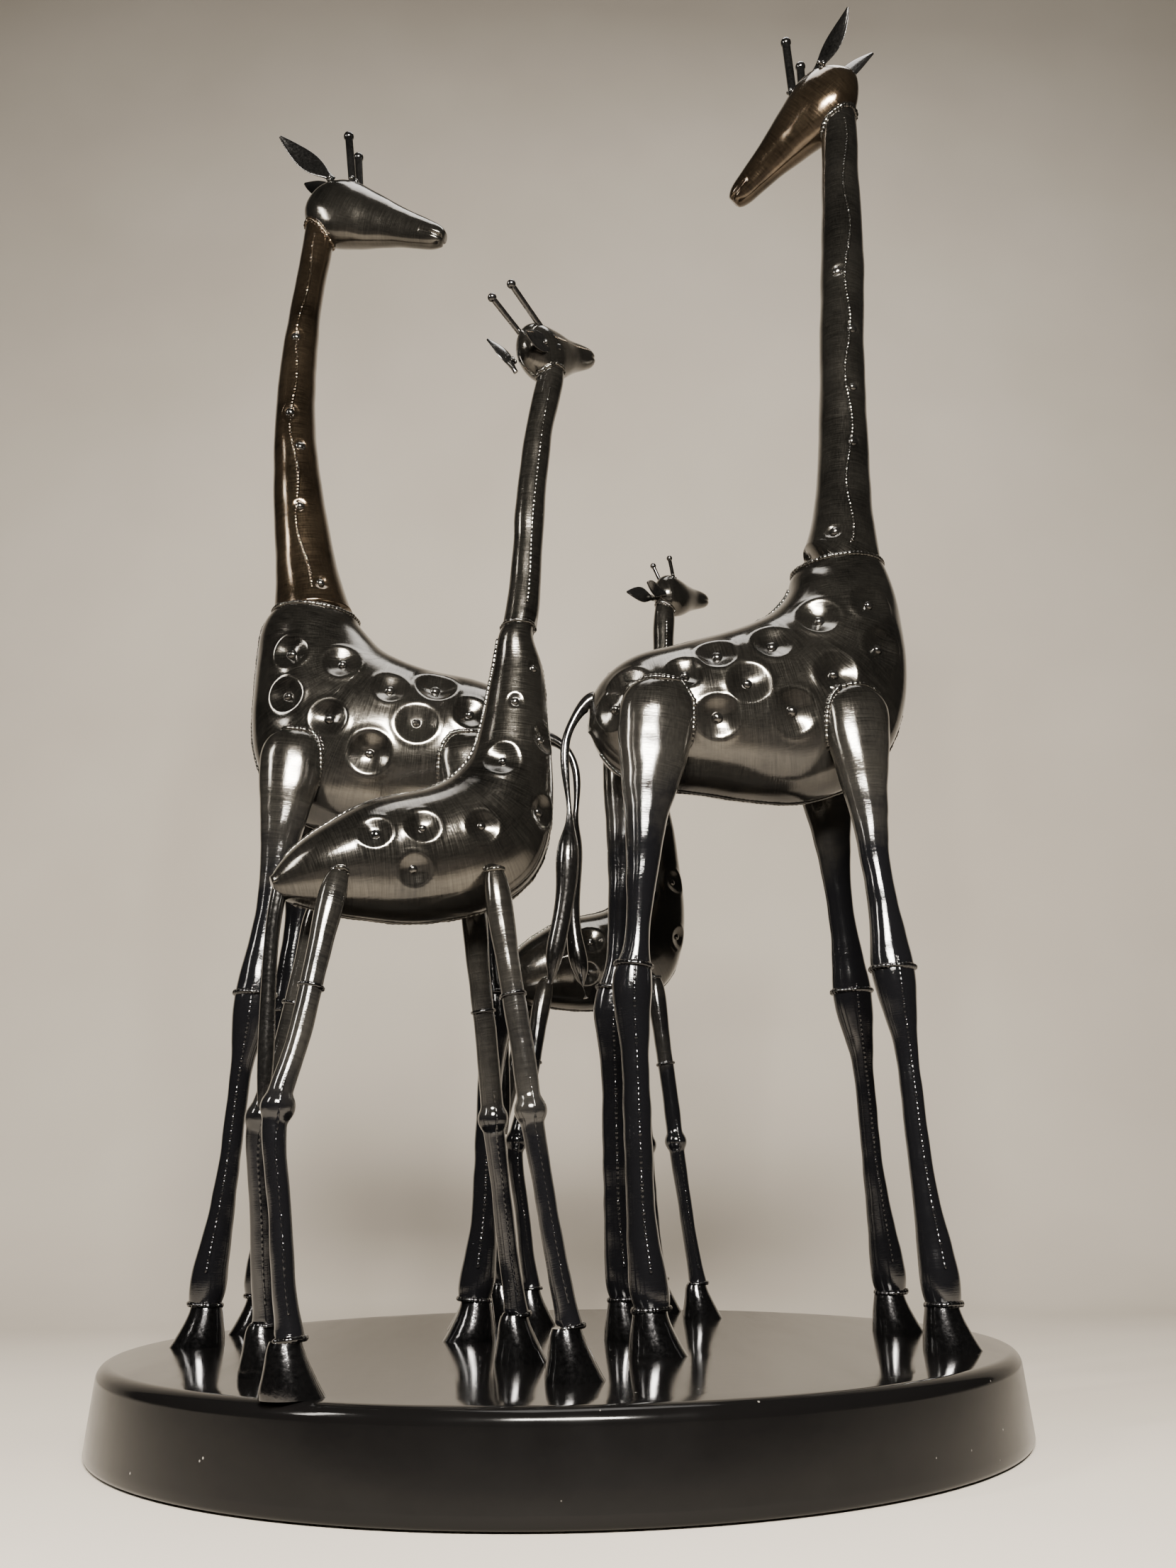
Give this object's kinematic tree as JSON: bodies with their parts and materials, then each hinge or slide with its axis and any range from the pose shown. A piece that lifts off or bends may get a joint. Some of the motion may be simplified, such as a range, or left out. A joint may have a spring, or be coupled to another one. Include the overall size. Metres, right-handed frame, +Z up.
{
  "type": "welded metal giraffe family sculpture",
  "caption": "Group of welded sheet metal giraffes, tall adults and small young, standing on a round black board.",
  "frame": {"origin": "centre of the board's underside", "axes": "+Z up; +X towards the tall bull's side of the board, the right in the front view; -Y is the front, where the larger calf stands"},
  "size_m": [0.3019, 0.3, 0.5976],
  "materials": {
    "brushed_gunmetal": "brushed under gloss clear lacquer",
    "bronzed_gunmetal": "brushed, heat tinted, under gloss clear lacquer",
    "dark_gunmetal": "gloss dark lacquer",
    "black_lacquer": "gloss",
    "weld_metal": "gloss",
    "board_lacquer": "gloss black lacquer",
    "screw_steel": "plain"
  },
  "bodies": {
    "root": {"bull_body_left": "brushed_gunmetal", "bull_body_right": "brushed_gunmetal", "bull_neck": "brushed_gunmetal", "bull_head": "bronzed_gunmetal", "bull_horns": "black_lacquer", "bull_ears": "black_lacquer", "bull_tail": "black_lacquer", "bull_leg_front_left": "dark_gunmetal", "bull_leg_front_right": "dark_gunmetal", "bull_leg_rear_left": "dark_gunmetal", "bull_leg_rear_right": "dark_gunmetal", "bull_hooves_front": "black_lacquer", "bull_hooves_rear": "black_lacquer", "bull_beads": "weld_metal", "cow_body_left": "brushed_gunmetal", "cow_body_right": "brushed_gunmetal", "cow_neck": "brushed_gunmetal", "cow_head": "bronzed_gunmetal", "cow_horns": "black_lacquer", "cow_ears": "black_lacquer", "cow_tail": "black_lacquer", "cow_leg_front_left": "dark_gunmetal", "cow_leg_front_right": "dark_gunmetal", "cow_leg_rear_left": "dark_gunmetal", "cow_leg_rear_right": "dark_gunmetal", "cow_hooves_front": "black_lacquer", "cow_hooves_rear": "black_lacquer", "cow_beads": "weld_metal", "front_calf_body_left": "brushed_gunmetal", "front_calf_body_right": "brushed_gunmetal", "front_calf_neck": "brushed_gunmetal", "front_calf_head": "brushed_gunmetal", "front_calf_horns": "black_lacquer", "front_calf_ears": "black_lacquer", "front_calf_tail": "black_lacquer", "front_calf_leg_front_left": "dark_gunmetal", "front_calf_leg_front_right": "dark_gunmetal", "front_calf_leg_rear_left": "dark_gunmetal", "front_calf_leg_rear_right": "dark_gunmetal", "front_calf_hooves_front": "black_lacquer", "front_calf_hooves_rear": "black_lacquer", "front_calf_beads": "weld_metal", "rear_calf_body_left": "brushed_gunmetal", "rear_calf_body_right": "brushed_gunmetal", "rear_calf_neck": "brushed_gunmetal", "rear_calf_head": "brushed_gunmetal", "rear_calf_horns": "black_lacquer", "rear_calf_ears": "black_lacquer", "rear_calf_tail": "black_lacquer", "rear_calf_leg_front_left": "dark_gunmetal", "rear_calf_leg_front_right": "dark_gunmetal", "rear_calf_leg_rear_left": "dark_gunmetal", "rear_calf_leg_rear_right": "dark_gunmetal", "rear_calf_hooves_front": "black_lacquer", "rear_calf_hooves_rear": "black_lacquer", "rear_calf_beads": "weld_metal", "base_board": "board_lacquer", "hoof_screws": "screw_steel"}
  },
  "joints": []
}
